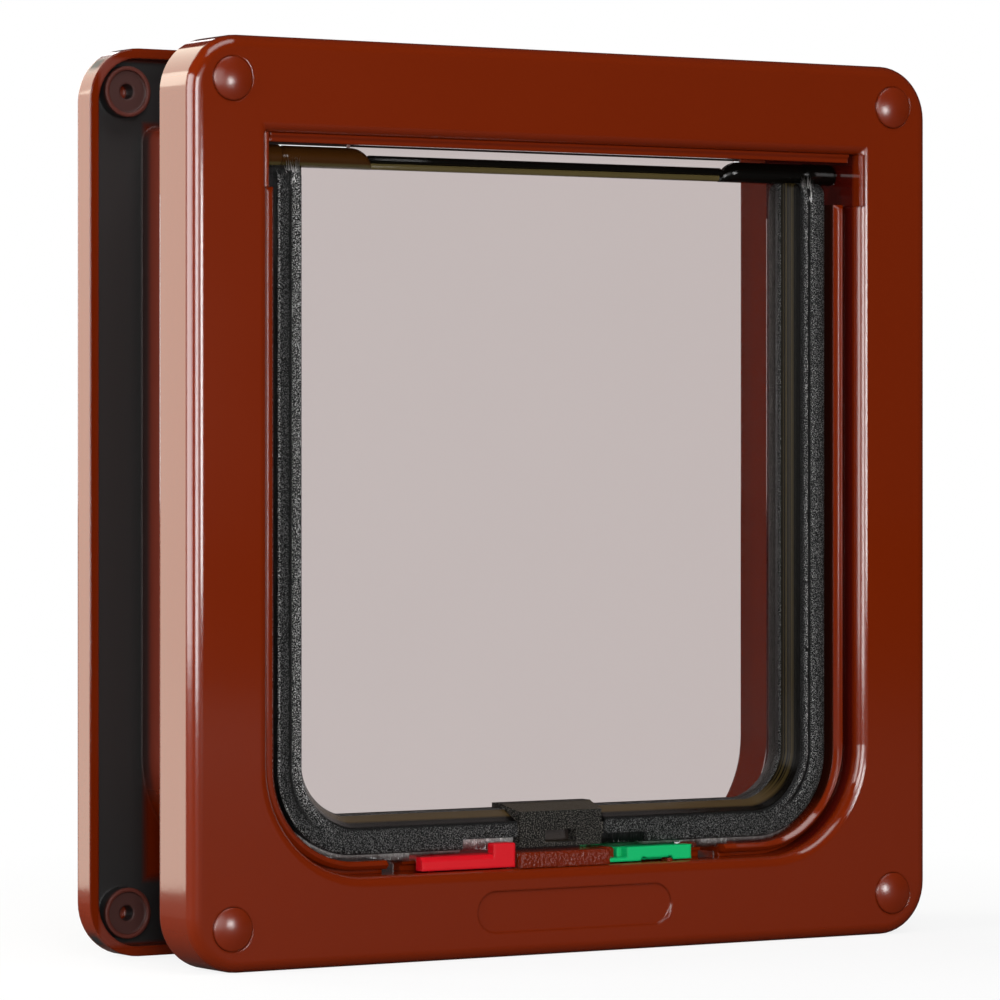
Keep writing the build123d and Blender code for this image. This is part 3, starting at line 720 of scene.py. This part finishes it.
floorLook = {
    "reach": 6,
    "bounce": (0.045, 0.045, 0.045),  # dark to all but the eye, so the gloss stays deep
    "paper": (0.9, 0.9, 0.9),
    "rough": 0.9,
    "whiteRamp": (0.1, 0.3, 0.84, 1.0),
}
reach = floorLook["reach"]
floorMesh = bpy.data.meshes.new("floor")
corners = [(-reach, -reach, 0), (reach, -reach, 0), (reach, reach, 0), (-reach, reach, 0)]
floorMesh.from_pydata(corners, [], [(0, 1, 2, 3)])
floor = bpy.data.objects.new("floor", floorMesh)
scene.collection.objects.link(floor)
floorMaterial, tree, shader = startMaterial("floorPaper")
eye = newNode(tree, "ShaderNodeLightPath").outputs["Is Camera Ray"]
tree.links.new(colorMix(tree, eye, floorLook["bounce"], floorLook["paper"]), shader.inputs["Base Color"])
shader.inputs["Roughness"].default_value = floorLook["rough"]
where = newNode(tree, "ShaderNodeTexCoord")
away = tree.nodes.new("ShaderNodeVectorMath")
away.operation = "LENGTH"
tree.links.new(where.outputs["Object"], away.inputs[0])
paper = ranged(tree, away.outputs["Value"], *floorLook["whiteRamp"])
whiten = calc(tree, "MULTIPLY", paper, anyRay(tree, "Is Camera Ray", "Is Transmission Ray"))
glow = newNode(tree, "ShaderNodeEmission", Strength=1.0)
blend = tree.nodes.new("ShaderNodeMixShader")
tree.links.new(whiten, blend.inputs["Fac"])
tree.links.new(shader.outputs["BSDF"], blend.inputs[1])
tree.links.new(glow.outputs["Emission"], blend.inputs[2])
tree.links.new(blend.outputs["Shader"], tree.nodes["Material Output"].inputs["Surface"])
floorMesh.materials.append(floorMaterial)

world = bpy.data.worlds.new("studio")
scene.world = world
world.use_nodes = True
tree = world.node_tree
tree.nodes.clear()
white = newNode(tree, "ShaderNodeBackground", Color=(1, 1, 1, 1), Strength=1.0)
dim = newNode(tree, "ShaderNodeBackground", Color=(1, 1, 1, 1), Strength=0.03)
blend = tree.nodes.new("ShaderNodeMixShader")
output = tree.nodes.new("ShaderNodeOutputWorld")
tree.links.new(anyRay(tree, "Is Camera Ray", "Is Transmission Ray"), blend.inputs["Fac"])
tree.links.new(dim.outputs["Background"], blend.inputs[1])
tree.links.new(white.outputs["Background"], blend.inputs[2])
tree.links.new(blend.outputs["Shader"], output.inputs["Surface"])


# Soft box that faces the object; azimuth counts from the front, to the right
def softLight(name, azimuth, elevation, distance, width, height, radiance, tint=(1, 1, 1)):
    turn, tilt = math.radians(azimuth), math.radians(elevation)
    target = Vector((0, 0, 0.1))
    away = Vector((math.sin(turn) * math.cos(tilt), -math.cos(turn) * math.cos(tilt), math.sin(tilt)))
    data = bpy.data.lights.new(name, "AREA")
    data.shape = "RECTANGLE"
    data.color = tint
    data.size = width
    data.size_y = height
    data.energy = radiance * math.pi * width * height
    lamp = bpy.data.objects.new(name, data)
    lamp.location = target + away * distance
    lamp.rotation_euler = (-away).to_track_quat("-Z", "Y").to_euler()
    lamp.visible_camera = lamp.visible_transmission = False  # not seen through the window
    scene.collection.objects.link(lamp)


# Azimuth, elevation, distance, width, height, radiance and tint
warmCard = (1.0, 0.945, 0.79)
studioLights = {
    "key": (0, 60, 1.8, 1.2, 0.9, 4.0),
    "wallCard": (-129.5, 1, 0.256, 0.072, 0.34, 3.0, warmCard),
    "cornerCard": (-147.7, 38, 0.294, 0.15, 0.13, 3.0, warmCard),
    "left": (-97, 6, 1.6, 1.7, 1.3, 8.0),
    "softBox": (-12, 2, 1.3, 0.6, 0.95, 2.4),
    "edgeStrip": (-29, 0, 1.3, 0.3, 0.95, 19.0),
    "capSpot": (15, 2, 1.3, 0.2, 0.2, 30.0),
    "back": (175, 12, 1.8, 1.0, 0.8, 3.2),
}
for name, look in studioLights.items():
    softLight(name, *look)

cameraShape = {
    "place": (-625.21, -961.57, 109.61),
    "turn": -32.191,
    "sensor": 36,
    "lens": 186.39,
    "shift": -0.04134,
}
cameraData = bpy.data.cameras.new("camera")
cameraData.sensor_width = cameraShape["sensor"]
cameraData.lens = cameraShape["lens"]
cameraData.shift_y = cameraShape["shift"]
camera = bpy.data.objects.new("camera", cameraData)
camera.location = at(*cameraShape["place"])
camera.rotation_euler = (math.radians(90), 0, math.radians(cameraShape["turn"]))
scene.collection.objects.link(camera)
scene.camera = camera
print("stage done")
